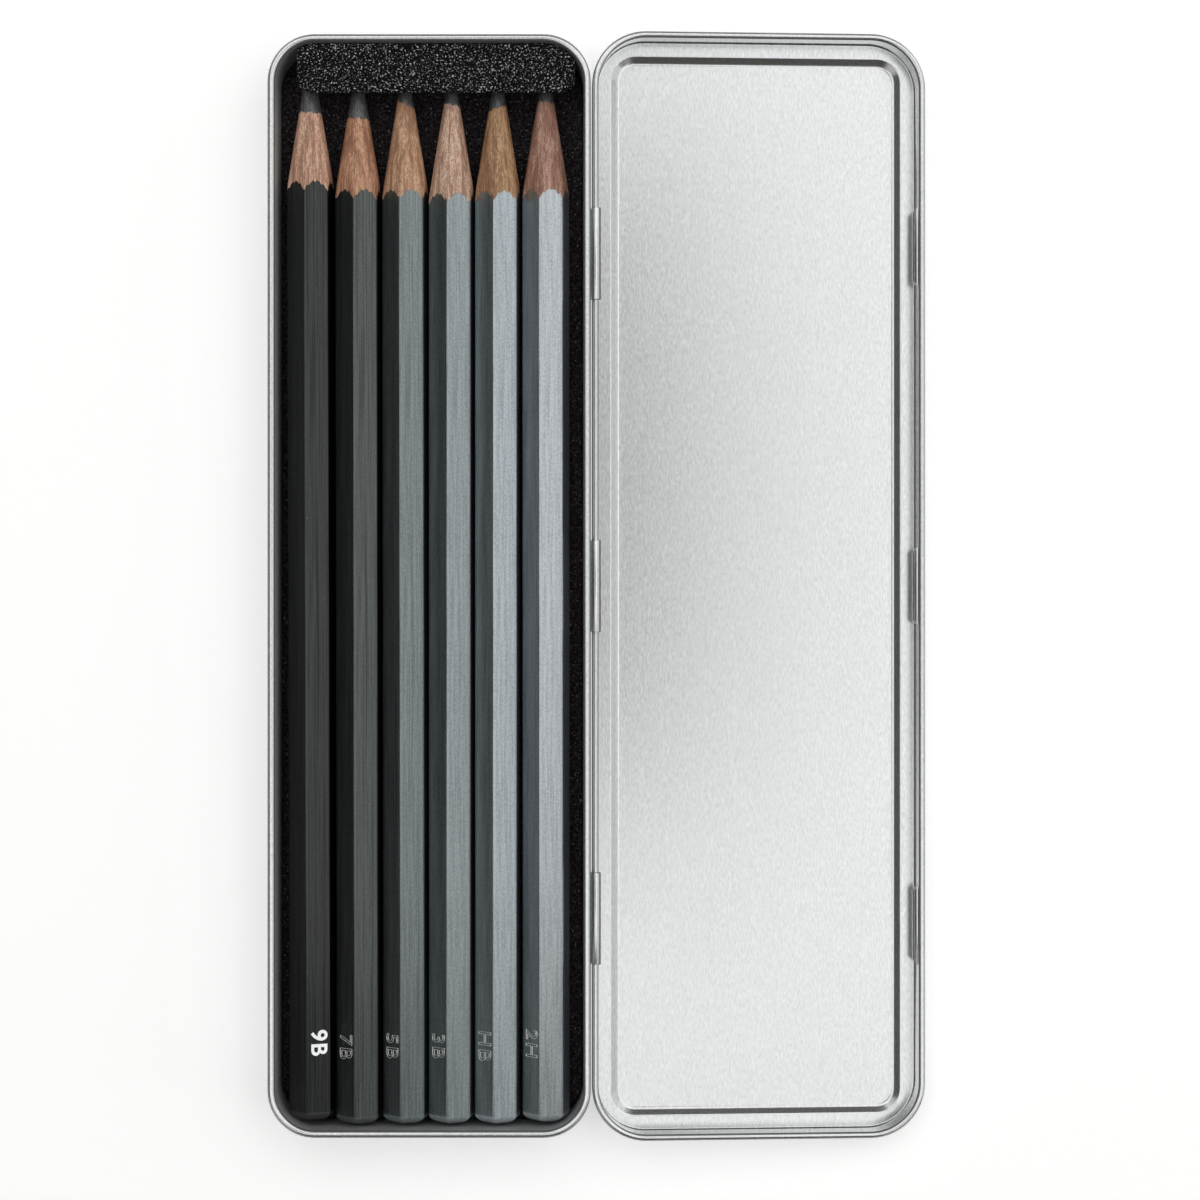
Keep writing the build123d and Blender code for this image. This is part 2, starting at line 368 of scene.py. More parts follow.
def sums(tree, operation, first, second=0.0):
    """One step of arithmetic on sockets or numbers."""
    node = tree.nodes.new("ShaderNodeMath")
    node.operation = operation
    for socket, value in zip(node.inputs, (first, second)):
        if isinstance(value, (int, float)):
            socket.default_value = value
        else:
            tree.links.new(value, socket)
    return node.outputs[0]


def repeat_tree():
    """The same form a number of times along the hinge line."""
    tree, entry = geometry_tree("repeat_along_hinge", (("Count", "Int"), ("Pitch", "Float")))
    add, link = tree.nodes.new, tree.links.new
    count, pitch = entry.outputs["Count"], entry.outputs["Pitch"]
    length = sums(tree, "MULTIPLY", sums(tree, "SUBTRACT", count, 1), pitch)
    start, step = add("ShaderNodeCombineXYZ"), add("ShaderNodeCombineXYZ")
    line = add("GeometryNodeMeshLine")
    places = add("GeometryNodeInstanceOnPoints")
    link(sums(tree, "MULTIPLY", length, -0.5), start.inputs["Y"])
    link(pitch, step.inputs["Y"])
    link(count, line.inputs["Count"])
    link(start.outputs[0], line.inputs["Start Location"])
    link(step.outputs[0], line.inputs["Offset"])
    link(line.outputs["Mesh"], places.inputs["Points"])
    link(entry.outputs["Geometry"], places.inputs["Instance"])
    return close_tree(tree, entry, places.outputs[0])


def foam_tree():
    """Open cells pressed into a foam surface."""
    tree, entry = geometry_tree("foam_cells", (("Cell Scale", "Float"), ("Depth", "Float")))
    add, link = tree.nodes.new, tree.links.new
    cells, along = add("ShaderNodeTexVoronoi"), add("ShaderNodeVectorMath")
    shift = add("GeometryNodeSetPosition")
    along.operation = "SCALE"
    link(entry.outputs["Cell Scale"], cells.inputs["Scale"])
    lower = sums(tree, "SUBTRACT", cells.outputs["Distance"], 0.75)
    link(add("GeometryNodeInputNormal").outputs[0], along.inputs[0])
    link(sums(tree, "MULTIPLY", lower, entry.outputs["Depth"]), along.inputs["Scale"])
    link(entry.outputs["Geometry"], shift.inputs["Geometry"])
    link(along.outputs[0], shift.inputs["Offset"])
    return close_tree(tree, entry, shift.outputs[0])


def add_tree(piece, tree, **values):
    """Gives a piece a Geometry Nodes modifier and sets its named inputs."""
    modifier = piece.modifiers.new(tree.name, "NODES")
    modifier.node_group = tree
    for item in tree.interface.items_tree:
        if item.in_out == "INPUT" and item.name in values:
            modifier[item.identifier] = values[item.name]
    return piece


along_hinge = repeat_tree()
cell_tree = foam_tree()


def repeated(piece, pitch, material=None):
    return add_tree(piece, along_hinge, Count=repeats, Pitch=pitch * MM, Material=material)


def cut(piece, tool, operation):
    """Joins or takes away a tool from a piece, and removes the tool."""
    tool_mesh = settle(tool.name, tool)
    solid = bpy.data.objects.new(tool_mesh.name, tool_mesh)
    bpy.context.scene.collection.objects.link(solid)
    modifier = piece.modifiers.new(operation.lower(), "BOOLEAN")
    modifier.operation, modifier.solver, modifier.object = operation, "EXACT", solid
    mesh = settle(piece.name, piece)
    bpy.data.objects.remove(solid)
    result = bpy.data.objects.new(mesh.name, mesh)
    bpy.context.scene.collection.objects.link(result)
    return result


def soften_edges(piece, width):
    bevel = piece.modifiers.new("edges", "BEVEL")
    bevel.width, bevel.segments = width * MM, 2
    bevel.limit_method, bevel.angle_limit = "ANGLE", math.radians(40)
    weigh = piece.modifiers.new("normals", "WEIGHTED_NORMAL")
    weigh.keep_sharp = True


def wall_window(level, height, wall_x):
    """Cutter for the openings along the hinge side."""
    size = (4 * sheet, knuckle_length + 2 * window_gap, height)
    corners, faces = block(size, (wall_x, 0, level))
    return repeated(draft("window", corners, faces), knuckle_pitch)


def make_tray(material):
    tray = pressed_sheet("tray_shell", tray_section())
    base = hinge_height - lid_roll / 2 - knuckle_play - sheet
    top = tray_height - tray_roll - 0.5 * sheet
    windows = wall_window((base + top) / 2, top - base, wall_inner + sheet / 2)
    tray = cut(tray, windows, "DIFFERENCE")
    soften_edges(tray, cut_edge)
    mesh = settle("tray_shell", tray)
    mark_edge_shade_and_walls(mesh, lambda point: point.z > roll_level + roll_margin)
    return finish_piece("tray_shell", mesh, material, "tray")


def knuckle_section():
    """Outside and inside points of a tongue, from the tray's wall round the lid's rolled edge."""
    inner = lid_roll / 2 + knuckle_play
    outer = inner + sheet
    outside = [(wall_inner, hinge_height - outer)]
    inside = [(wall_inner, hinge_height - inner)]
    outside += arc(hinge_x, hinge_height, outer, -90, knuckle_end, knuckle_steps)
    inside += arc(hinge_x, hinge_height, inner, -90, knuckle_end, knuckle_steps)
    return outside, inside


def make_knuckles(material):
    outside, inside = knuckle_section()
    count = len(outside)
    vertices = []
    for side in (-1, 1):
        for line in (outside, inside):
            for index, (x, z) in enumerate(line):
                last = max(0, index + 1 + knuckle_end_steps - count) / knuckle_end_steps
                half = knuckle_length / 2 - knuckle_corner * (1 - math.sqrt(1 - last * last))
                vertices.append((x, side * half, z))
    near_out, near_in, far_out, far_in = (step * count for step in range(4))
    faces = []
    sides = ((near_out, far_out), (far_in, near_in), (near_in, near_out), (far_out, far_in))
    for index in range(count - 1):
        for low, high in sides:
            faces.append((low + index, low + index + 1, high + index + 1, high + index))
    for index in (0, count - 1):
        faces.append((near_out + index, near_in + index, far_in + index, far_out + index))
    knuckle = draft("hinge_knuckles", vertices, faces)
    soften_edges(knuckle, knuckle_edge)
    repeated(knuckle, knuckle_pitch, material)
    mesh = settle("hinge_knuckles", knuckle)
    mark_edge_shade_and_walls(mesh, lambda point: point.z > hinge_height)
    return finish_piece("hinge_knuckles", mesh, None, "tray")


def bead_form(name, radius, length, extra):
    """Half-round ridge along Y with sloping ends, its back closed by a strip of extra depth."""
    vertices = []
    for end in (-1, 1):
        for index in range(bead_steps + 1):
            angle = math.pi * (index / bead_steps - 0.5)
            x, z = radius * math.cos(angle), radius * math.sin(angle)
            vertices.append((x, end * (length / 2 - x), z))
        vertices.append((-extra, end * length / 2, radius))
        vertices.append((-extra, end * length / 2, -radius))
    count = bead_steps + 3
    faces = [tuple(range(count)), tuple(range(count, 2 * count))]
    for index in range(count):
        after = (index + 1) % count
        faces.append((index, after, count + after, count + index))
    form = draft(name, vertices, faces)
    form.data.transform(Matrix.Translation(Vector((sheet / 2 - skirt_outer, 0, bead_height)) * MM))
    return repeated(form, bead_pitch)


def make_lid(material):
    """Lid pressed closed over the tray, then swung open to where the frame has it."""
    lid = pressed_sheet("lid_shell", lid_section())
    level = hinge_height + window_sill + window_height / 2
    lid = cut(lid, wall_window(level, window_height, skirt_outer - sheet / 2), "DIFFERENCE")
    lid = cut(lid, bead_form("bead", bead_radius, bead_length, 0), "UNION")
    dent = bead_form("dent", bead_radius - sheet, bead_length - 2 * sheet, 2 * sheet)
    lid = cut(lid, dent, "DIFFERENCE")
    soften_edges(lid, cut_edge)
    mesh = settle("lid_shell", lid)
    mark_edge_shade_and_walls(mesh, lambda point: point.z < hinge_height - roll_margin)
    hinge = Matrix.Translation(Vector((hinge_x, 0, hinge_height)) * MM)
    mesh.transform(hinge @ Matrix.Rotation(math.radians(open_angle), 4, "Y") @ hinge.inverted())
    return finish_piece("lid_shell", mesh, material, "lid")


def hexagon_outline():
    """Rounded hexagon as points with one corner towards -Y."""
    outline = []
    centre = (flats / 2 - corner_round) / math.cos(math.pi / 6)
    turned = Matrix.Rotation(math.radians(60), 2)
    for corner in range(6):
        middle = math.radians(60 * corner - 90)
        rounding = []
        for step in range(5):
            angle = middle + math.radians(30 * (step / 2 - 1))
            rounding.append(
                Vector((centre * math.cos(middle), centre * math.sin(middle)))
                + corner_round * Vector((math.cos(angle), math.sin(angle)))
            )
        start, end = rounding[-1], turned @ rounding[0]
        outline += rounding
        outline += [start.lerp(end, step / flat_steps) for step in range(1, flat_steps)]
    return outline


def pencil_place(centre_x, butt_y, roll, slant):
    """Where a pencil that is made along Z, butt at the origin, lies in the tin."""
    return (
        Matrix.Translation((centre_x, 0, pencil_level))
        @ Matrix.Rotation(math.radians(slant), 4, "Z")
        @ Matrix.Translation((0, butt_y, 0))
        @ Matrix.Rotation(math.radians(-roll), 4, "Y")
        @ Matrix.Rotation(math.radians(-90), 4, "X")
    )


def keep_own_coordinates(mesh):
    """Stores each point's place along and across the pencil, in millimetres, for its grain."""
    own = mesh.attributes.new("pencil_space", "FLOAT_VECTOR", "POINT")
    own.data.foreach_set("vector", [c / MM for vertex in mesh.vertices for c in vertex.co])


def lay_in_tin(mesh, place):
    scale = Matrix.Scale(MM, 4)
    mesh.transform(scale @ place @ scale.inverted())


def waver(waves, angle, number):
    """Sum of waves round a pencil, different on each, for a torn or ragged edge."""
    total = 0.0
    for order, (count, height) in enumerate(waves, start=1):
        total += height * math.sin(count * angle + order * number)
    return total


def on_cone(apex, radius, angle):
    return (radius * math.cos(angle), radius * math.sin(angle), apex - radius / cone_slope)


def ring_at(radius, level, angles):
    return [(radius * math.cos(angle), radius * math.sin(angle), level) for angle in angles]


def core_radius(number, pencil, angle):
    """Radius at which the lead meets the wood."""
    off_centre = pencil.off_centre * math.cos(angle - math.radians(pencil.off_side))
    return pencil.lead / 2 + off_centre + waver(core_waves, angle, number)


def barrel_rings(number, apex, outline, angles):
    """Rings of the lacquered barrel, from the domed butt to the torn scallops."""
    rings = []
    for share in dome_shares:
        depth = dome_depth * (1 - math.sqrt(1 - share * share))
        rings.append([(point.x * share, point.y * share, depth) for point in outline])
    corner = max(point.length for point in outline)
    scallop = []
    for point, angle in zip(outline, angles):
        radius = corner - scallop_share * (corner - point.length)
        tear = torn_edge * waver(scallop_waves, angle, number)
        scallop.append((point.x, point.y, apex - radius / cone_slope - tear))
    return rings + [scallop]


def cone_rings(number, pencil, apex, outline, angles):
    """Rings of the bare wood from the scallops to the lead."""
    rings = []
    for share in cone_shares:
        ring = []
        for point, angle in zip(outline, angles):
            outer = (point.length - lacquer_film) * (1 - share)
            ring.append(on_cone(apex, outer + core_radius(number, pencil, angle) * share, angle))
        rings.append(ring)
    return rings


def make_case(number, pencil, apex, coats):
    """Lacquered case with its sharpened cone, bored for the lead."""
    outline = hexagon_outline()
    angles = [math.atan2(point.y, point.x) for point in outline]
    barrel = barrel_rings(number, apex, outline, angles)
    film_edge = [(x * wood_share, y * wood_share, z + lacquer_film) for x, y, z in barrel[-1]]
    cone = cone_rings(number, pencil, apex, outline, angles)
    bore = pencil.lead / 2 - pencil.off_centre - bore_play
    mouth = ring_at(bore, apex - pencil.lead / cone_slope, angles)
    bottom = ring_at(bore, 1.5 * dome_depth, angles)
    skin = closed_skin("case", [*barrel, film_edge, *cone, mouth, bottom])
    case = settle(f"pencil_{number}_case", skin, pencil_smooth_angle)
    for coat in coats:
        case.materials.append(coat)
    lacquered, wooden, dipped = range(3)
    butt_faces = (len(barrel) - 2) * len(outline)
    barrel_faces = len(barrel) * len(outline)
    end_faces = len(case.polygons) - 2
    for face in case.polygons:
        if face.index < butt_faces or face.index >= end_faces:
            face.material_index = dipped
        else:
            face.material_index = wooden if face.index >= barrel_faces else lacquered
    return case


def make_point(number, pencil, apex):
    """Lead from inside the case to its blunted point."""
    angles = [math.atan2(point.y, point.x) for point in hexagon_outline()]
    radius = lead_fit * (pencil.lead / 2 - pencil.off_centre - bore_play)
    rings = [
        ring_at(radius, 2 * dome_depth, angles),
        ring_at(radius, apex - pencil.lead / cone_slope, angles),
    ]
    for share in point_shares:
        ring = []
        for angle in angles:
            outer = core_radius(number, pencil, angle) * (1 - share)
            ring.append(on_cone(apex, outer + point_radius * share, angle))
        rings.append(ring)
    tip = apex - point_radius / cone_slope
    rings.append(ring_at(point_radius, tip - tip_ease, angles))
    rings.append(ring_at(tip_share * point_radius, tip, angles))
    return settle(f"pencil_{number}_point", closed_skin("point", rings), pencil_smooth_angle)


def make_pencil(number, pencil, coats, graphite):
    """One pencil in its place: the case with its three coats, and the lead."""
    butt_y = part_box(f"pencil_{number}_dipped_end")[0].y / MM
    apex = pencil.apex_y - butt_y
    place = pencil_place(pencil.middle_x, butt_y, pencil.roll, pencil.slant)
    case = make_case(number, pencil, apex, coats)
    point = make_point(number, pencil, apex)
    for mesh in (case, point):
        keep_own_coordinates(mesh)
        lay_in_tin(mesh, place)
    body = f"pencil_{number}"
    case_piece = finish_piece(case.name, case, None, body)
    point_piece = finish_piece(point.name, point, graphite, body)
    slats = [f"{body}_{name}" for name in ("left_slat", "right_slat", "dipped_end")]
    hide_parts(*slats)
    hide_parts(f"{body}_lead")
    return place


def make_grade(number, grade, place, filled, foil):
    """Grade stamped near the butt on an upper facet: filled with foil, or only its outline."""
    text = bpy.data.curves.new("grade", "FONT")
    text.body, text.size = grade, grade_size
    text.align_x, text.align_y = "CENTER", "CENTER"
    text.space_character = grade_spacing
    if filled:
        text.extrude, text.offset, text.bevel_depth = foil_depth, foil_spread, foil_edge
    else:
        text.fill_mode, text.bevel_depth, text.bevel_resolution = "NONE", outline_radius, 1
    holder = bpy.data.objects.new("grade", text)
    bpy.context.scene.collection.objects.link(holder)
    mesh = settle(f"pencil_{number}_grade", holder)
    bpy.data.curves.remove(text)
    side = 1 if filled else -1
    facet = (
        place
        @ Matrix.Rotation(math.radians(-90 + 30 * side), 4, "Z")
        @ Matrix.Translation((flats / 2, 0, grade_place))
        @ Matrix.Rotation(math.radians(90), 4, "Y")
    )
    mesh.transform(facet)
    mesh.transform(Matrix.Scale(MM, 4))
    return finish_piece(mesh.name, mesh, foil, f"pencil_{number}")


def make_foam(name, node, voxel, cell, depth, lean, material):
    """Foam piece with real open cells, from the frame's plain solid, its front face leaning."""
    mesh = frame["nodes"][node].data.copy()
    mesh.materials.clear()
    form = bmesh.new()
    form.from_mesh(mesh)
    bmesh.ops.remove_doubles(form, verts=form.verts, dist=1e-7)
    form.to_mesh(mesh)
    form.free()
    foam = bpy.data.objects.new(name, mesh)
    bpy.context.scene.collection.objects.link(foam)
    fine = foam.modifiers.new("even", "REMESH")
    fine.mode, fine.voxel_size = "VOXEL", voxel * MM
    values = {"Cell Scale": 1 / (cell * MM), "Depth": depth * MM, "Material": material}
    mesh = settle(name, add_tree(foam, cell_tree, **values), foam_smooth_angle)
    low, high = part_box(node)
    for vertex in mesh.vertices:
        nearness = max(0.0, 1 - (vertex.co.y - low.y) / (lean_reach * MM))
        vertex.co.y += lean * (high.z - vertex.co.z) * min(1.0, nearness)
    piece = finish_piece(name, mesh, None, "tray")
    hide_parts(node)


# Materials

def group_tree(name, inputs, outputs):
    """Shader node group with named sockets, and its input and output nodes."""
    tree = bpy.data.node_groups.new(name, "ShaderNodeTree")
    for socket, kind, value in (("Vector", "Vector", None), *inputs):
        made = tree.interface.new_socket(socket, in_out="INPUT", socket_type=f"NodeSocket{kind}")
        if value is not None:
            made.default_value = value
    for socket, kind in outputs:
        tree.interface.new_socket(socket, in_out="OUTPUT", socket_type=f"NodeSocket{kind}")
    return tree, tree.nodes.new("NodeGroupInput"), tree.nodes.new("NodeGroupOutput")


def stretched_noise(tree, vector, scale, detail=3.0, roughness=0.5):
    """Noise read from a vector whose axes are scaled one by one."""
    stretcher = tree.nodes.new("ShaderNodeVectorMath")
    stretcher.operation = "MULTIPLY"
    tree.links.new(vector, stretcher.inputs[0])
    if isinstance(scale, tuple):
        stretcher.inputs[1].default_value = scale
    else:
        tree.links.new(scale, stretcher.inputs[1])
    noise = tree.nodes.new("ShaderNodeTexNoise")
    noise.inputs["Scale"].default_value = 1.0
    noise.inputs["Detail"].default_value = detail
    noise.inputs["Roughness"].default_value = roughness
    tree.links.new(stretcher.outputs[0], noise.inputs["Vector"])
    return noise.outputs["Fac"]


def ranged(tree, value, low, high, to_low=0.0, to_high=1.0):
    """A value moved from one range to another and held inside it."""
    node = tree.nodes.new("ShaderNodeMapRange")
    tree.links.new(value, node.inputs["Value"])
    limits = {"From Min": low, "From Max": high, "To Min": to_low, "To Max": to_high}
    for socket, number in limits.items():
        node.inputs[socket].default_value = number
    return node.outputs["Result"]


def blended(tree, factor, first, second):
    """Mix of two colours, each a socket or a fixed colour."""
    node = tree.nodes.new("ShaderNodeMix")
    node.data_type = "RGBA"
    tree.links.new(factor, node.inputs[0])
    for socket, value in ((node.inputs[6], first), (node.inputs[7], second)):
        if isinstance(value, tuple):
            socket.default_value = (*value, 1.0)
        else:
            tree.links.new(value, socket)
    return node.outputs[2]


def shaded(colour, *shares):
    """A colour made darker or lighter, by one share or one for each part."""
    shares = shares * 3 if len(shares) == 1 else shares
    return tuple(part * share for part, share in zip(colour, shares))


def brushed_group():
    """Fine lines left by rolling and brushing the sheet, along Y."""
    tree, entry, leave = group_tree(
        "brushed_lines",
        [("Lines", "Vector", (4200.0, 1200.0, 4200.0))],
        [("Line", "Float"), ("Cloud", "Float")],
    )
    vector = entry.outputs["Vector"]
    line = stretched_noise(tree, vector, entry.outputs["Lines"], 2.0, 0.6)
    cloud = stretched_noise(tree, vector, (26.0, 14.0, 26.0), 3.0, 0.55)
    tree.links.new(line, leave.inputs["Line"])
    tree.links.new(cloud, leave.inputs["Cloud"])
    return tree


def marks_group():
    """Sparse specks and faint rub marks from use."""
    tree, entry, leave = group_tree(
        "handling_marks",
        [("Speck Scale", "Float", 900.0), ("Rarity", "Float", 0.74)],
        [("Speck", "Float"), ("Rub", "Float")],
    )
    vector = entry.outputs["Vector"]
    grains = tree.nodes.new("ShaderNodeTexNoise")
    grains.inputs["Detail"].default_value = 2.0
    tree.links.new(vector, grains.inputs["Vector"])
    tree.links.new(entry.outputs["Speck Scale"], grains.inputs["Scale"])
    over = sums(tree, "SUBTRACT", grains.outputs["Fac"], entry.outputs["Rarity"])
    rub = stretched_noise(tree, vector, (120.0, 70.0, 120.0), 5.0, 0.6)
    tree.links.new(ranged(tree, over, 0.0, 0.04), leave.inputs["Speck"])
    tree.links.new(ranged(tree, rub, 0.4, 0.7), leave.inputs["Rub"])
    return tree


def cells_group():
    """Open foam cells: pores darkened with painted shade, paler cell walls, and painted glints on the
    walls.
    """
    tree, entry, leave = group_tree(
        "open_cells",
        [("Cell Scale", "Float", 2200.0), ("Glint Level", "Float", 0.55)],
        [("Wall", "Float"), ("Glint", "Float")],
    )
    cells, grain = tree.nodes.new("ShaderNodeTexVoronoi"), tree.nodes.new("ShaderNodeTexNoise")
    grain.inputs["Detail"].default_value = 1.0
    for node in (cells, grain):
        tree.links.new(entry.outputs["Vector"], node.inputs["Vector"])
    scale = entry.outputs["Cell Scale"]
    tree.links.new(scale, cells.inputs["Scale"])
    tree.links.new(sums(tree, "MULTIPLY", scale, 1.3), grain.inputs["Scale"])
    over = sums(tree, "SUBTRACT", grain.outputs["Fac"], entry.outputs["Glint Level"])
    # Painted highlight: bright glints on the cell walls, put into the colour.
    painted_glint = sums(tree, "POWER", ranged(tree, over, 0.0, 0.22), 1.4)
    tree.links.new(ranged(tree, cells.outputs["Distance"], 0.25, 0.75), leave.inputs["Wall"])
    tree.links.new(painted_glint, leave.inputs["Glint"])
    return tree


def cedar_group():
    """Straight pencil cedar: fibres, growth bands, pores and the glue line of the two slats."""
    tree, entry, leave = group_tree(
        "cedar_grain",
        [("Light", "Color", None), ("Dark", "Color", None), ("Seed", "Float", 0.0)],
        [("Color", "Color"), ("Fibre", "Float")],
    )
    light, dark = entry.outputs["Light"], entry.outputs["Dark"]
    offset = tree.nodes.new("ShaderNodeCombineXYZ")
    for axis in "XYZ":
        tree.links.new(entry.outputs["Seed"], offset.inputs[axis])
    moved = tree.nodes.new("ShaderNodeVectorMath")
    moved.operation = "ADD"
    tree.links.new(entry.outputs["Vector"], moved.inputs[0])
    tree.links.new(offset.outputs[0], moved.inputs[1])
    place = moved.outputs[0]
    fibre = stretched_noise(tree, place, (5.0, 5.0, 0.22), 4.0, 0.6)
    band = stretched_noise(tree, place, (1.1, 1.1, 0.05), 2.0, 0.5)
    line = stretched_noise(tree, place, (6.0, 6.0, 0.06), 1.0, 0.5)
    pore = stretched_noise(tree, place, (6.0, 6.0, 3.0), 2.0, 0.6)
    tone = sums(tree, "ADD", sums(tree, "MULTIPLY", fibre, 0.45), sums(tree, "MULTIPLY", band, 0.55))
    wood = blended(tree, ranged(tree, tone, 0.42, 0.56), dark, light)
    wood = blended(tree, ranged(tree, line, 0.54, 0.60, 0.0, 0.65), wood, dark)
    wood = blended(tree, ranged(tree, pore, 0.53, 0.63, 0.0, 0.85), wood, dark)
    split = tree.nodes.new("ShaderNodeSeparateXYZ")
    tree.links.new(entry.outputs["Vector"], split.inputs[0])
    seam = ranged(tree, sums(tree, "ABSOLUTE", split.outputs["X"]), 0.02, 0.07, 0.45, 0.0)
    tree.links.new(blended(tree, seam, wood, glue_line), leave.inputs["Color"])
    tree.links.new(fibre, leave.inputs["Fibre"])
    return tree


groups = {
    "lines": brushed_group(),
    "marks": marks_group(),
    "cells": cells_group(),
    "cedar": cedar_group(),
}


def start_material(name, **values):
    """New material and its Principled shader, with fixed values on the shader's own sockets."""
    material = bpy.data.materials.new(name)
    material.use_nodes = True
    shader = material.node_tree.nodes["Principled BSDF"]
    for socket, value in values.items():
        shader.inputs[socket.replace("_", " ")].default_value = value
    return material, material.node_tree, shader


def placed(tree, kind, vector, **values):
    """A group in a material, with its own values."""
    node = tree.nodes.new("ShaderNodeGroup")
    node.node_tree = groups[kind]
    tree.links.new(vector, node.inputs["Vector"])
    for socket, value in values.items():
        node.inputs[socket.replace("_", " ")].default_value = value
    return node.outputs


def object_vector(tree):
    return tree.nodes.new("ShaderNodeTexCoord").outputs["Object"]


def stored(tree, name, output="Fac"):
    """A value that a piece's mesh carries."""
    node = tree.nodes.new("ShaderNodeAttribute")
    node.attribute_name = name
    return node.outputs[output]


def raise_bumps(tree, shader, height, distance, strength=1.0):
    bump = tree.nodes.new("ShaderNodeBump")
    bump.inputs["Distance"].default_value = distance * MM
    bump.inputs["Strength"].default_value = strength
    tree.links.new(height, bump.inputs["Height"])
    tree.links.new(bump.outputs["Normal"], shader.inputs["Normal"])


def tinplate_material(name, wall_dullness, wall_metal):
    """Brushed tinplate, dull where a wall faces inwards, with painted shade as a dark outline on the sides
    of its rolls.
    """
    material, tree, shader = start_material(name)
    vector = object_vector(tree)
    lines = placed(tree, "lines", vector)
    marks = placed(tree, "marks", vector, Speck_Scale=1400.0, Rarity=0.73)
    wear_and_edge_shade, inner = stored(tree, "painted_edge_shade"), stored(tree, "inner_wall")
    metal = blended(tree, ranged(tree, lines["Line"], 0.3, 0.7), tin_dark, tin_light)
    metal = blended(tree, ranged(tree, lines["Cloud"], 0.35, 0.65, 0.0, 0.07), metal, tin_cloud)
    metal = blended(tree, sums(tree, "MULTIPLY", marks["Speck"], 0.35), metal, tin_speck)
    # Painted shade: the sides of the rolls are darkened to a dark outline, and further down also made
    # rougher and less metallic.
    metal = blended(tree, sums(tree, "MULTIPLY", wear_and_edge_shade, 0.9), metal, tin_edge_shade)
    low_rough, high_rough = tin_roughness
    rough = ranged(tree, lines["Line"], 0.3, 0.7, low_rough, high_rough)
    for part, share in ((marks["Rub"], 0.015), (inner, wall_dullness), (wear_and_edge_shade, 0.3)):
        rough = sums(tree, "ADD", rough, sums(tree, "MULTIPLY", part, share))
    bright = ranged(tree, inner, 0.0, 1.0, tin_metal, wall_metal)
    bright = sums(tree, "MULTIPLY", bright, ranged(tree, wear_and_edge_shade, 0.0, 1.0, 1.0, 0.4))
    tree.links.new(metal, shader.inputs["Base Color"])
    tree.links.new(bright, shader.inputs["Metallic"])
    tree.links.new(rough, shader.inputs["Roughness"])
    raise_bumps(tree, shader, lines["Line"], 0.0010, 0.6)
    return material


def foam_material(name, pore, wall, painted_glint, cell_scale, painted_glint_level):
    """Black open-celled foam, with painted shade in its pores and painted glints on its cell walls."""
    material, tree, shader = start_material(name, Roughness=0.95, Specular_IOR_Level=0.12)
    vector = object_vector(tree)
    cells = placed(tree, "cells", vector, Cell_Scale=cell_scale, Glint_Level=painted_glint_level)
    # Painted shade: the pores are darker than the cell walls.
    colour = blended(tree, cells["Wall"], pore, wall)
    # Painted highlight: the glints are laid into the base colour.
    tree.links.new(blended(tree, cells["Glint"], colour, painted_glint), shader.inputs["Base Color"])
    raise_bumps(tree, shader, cells["Wall"], 0.12)
    return material


def lacquer_material(name, colour, metallic, streaks):
    """Metallic pencil lacquer with the wood's grain showing through as long dark streaks."""
    material, tree, shader = start_material(
        name, Metallic=metallic, Coat_Weight=0.35, Coat_Roughness=0.12
    )
    vector = stored(tree, "pencil_space", "Vector")
    line = placed(tree, "lines", vector, Lines=(3.0, 3.0, 0.08))["Line"]
    marks = placed(tree, "marks", vector, Speck_Scale=2.2, Rarity=0.76)
    grain = stretched_noise(tree, vector, (4.5, 4.5, 3.0), 2.0, 0.6)
    long_grain = stretched_noise(tree, vector, (5.5, 5.5, 0.03), 1.0, 0.5)
    tone = sums(tree, "ADD", sums(tree, "MULTIPLY", line, 0.5), sums(tree, "MULTIPLY", grain, 0.5))
    film = blended(tree, ranged(tree, tone, 0.4, 0.6), shaded(colour, 0.72), shaded(colour, 1.12))
    streak = ranged(tree, long_grain, 0.56, 0.64, 0.0, streaks)
    film = blended(tree, streak, film, shaded(colour, 0.25))
    film = blended(tree, sums(tree, "MULTIPLY", marks["Speck"], 0.3), film, lacquer_speck)
    tree.links.new(film, shader.inputs["Base Color"])
    tree.links.new(ranged(tree, line, 0.3, 0.7, 0.30, 0.38), shader.inputs["Roughness"])
    raise_bumps(tree, shader, line, 0.01, 0.5)
    return material


def cedar_material(number, light):
    """Bare wood of one pencil's cone, its grain a darker and redder brown."""
    material, tree, shader = start_material(f"cedar_{number}", Roughness=0.62)
    vector = stored(tree, "pencil_space", "Vector")
    dark = (*shaded(light, 0.44, 0.35, 0.30), 1.0)
    cedar = placed(tree, "cedar", vector, Light=(*light, 1.0), Dark=dark, Seed=7.3 * number)
    tree.links.new(cedar["Color"], shader.inputs["Base Color"])
    raise_bumps(tree, shader, cedar["Fibre"], 0.05, 0.7)
    return material


def graphite_material():
    """Sharpened graphite with the blade's marks."""
    material, tree, shader = start_material("graphite", Metallic=0.35)
    vector = stored(tree, "pencil_space", "Vector")
    line = placed(tree, "lines", vector, Lines=(7.0, 7.0, 0.6))["Line"]
    tone = blended(tree, ranged(tree, line, 0.35, 0.65), graphite_dark, graphite_light)
    tree.links.new(tone, shader.inputs["Base Color"])
    tree.links.new(ranged(tree, line, 0.35, 0.65, 0.5, 0.38), shader.inputs["Roughness"])
    raise_bumps(tree, shader, line, 0.02, 0.8)
    return material


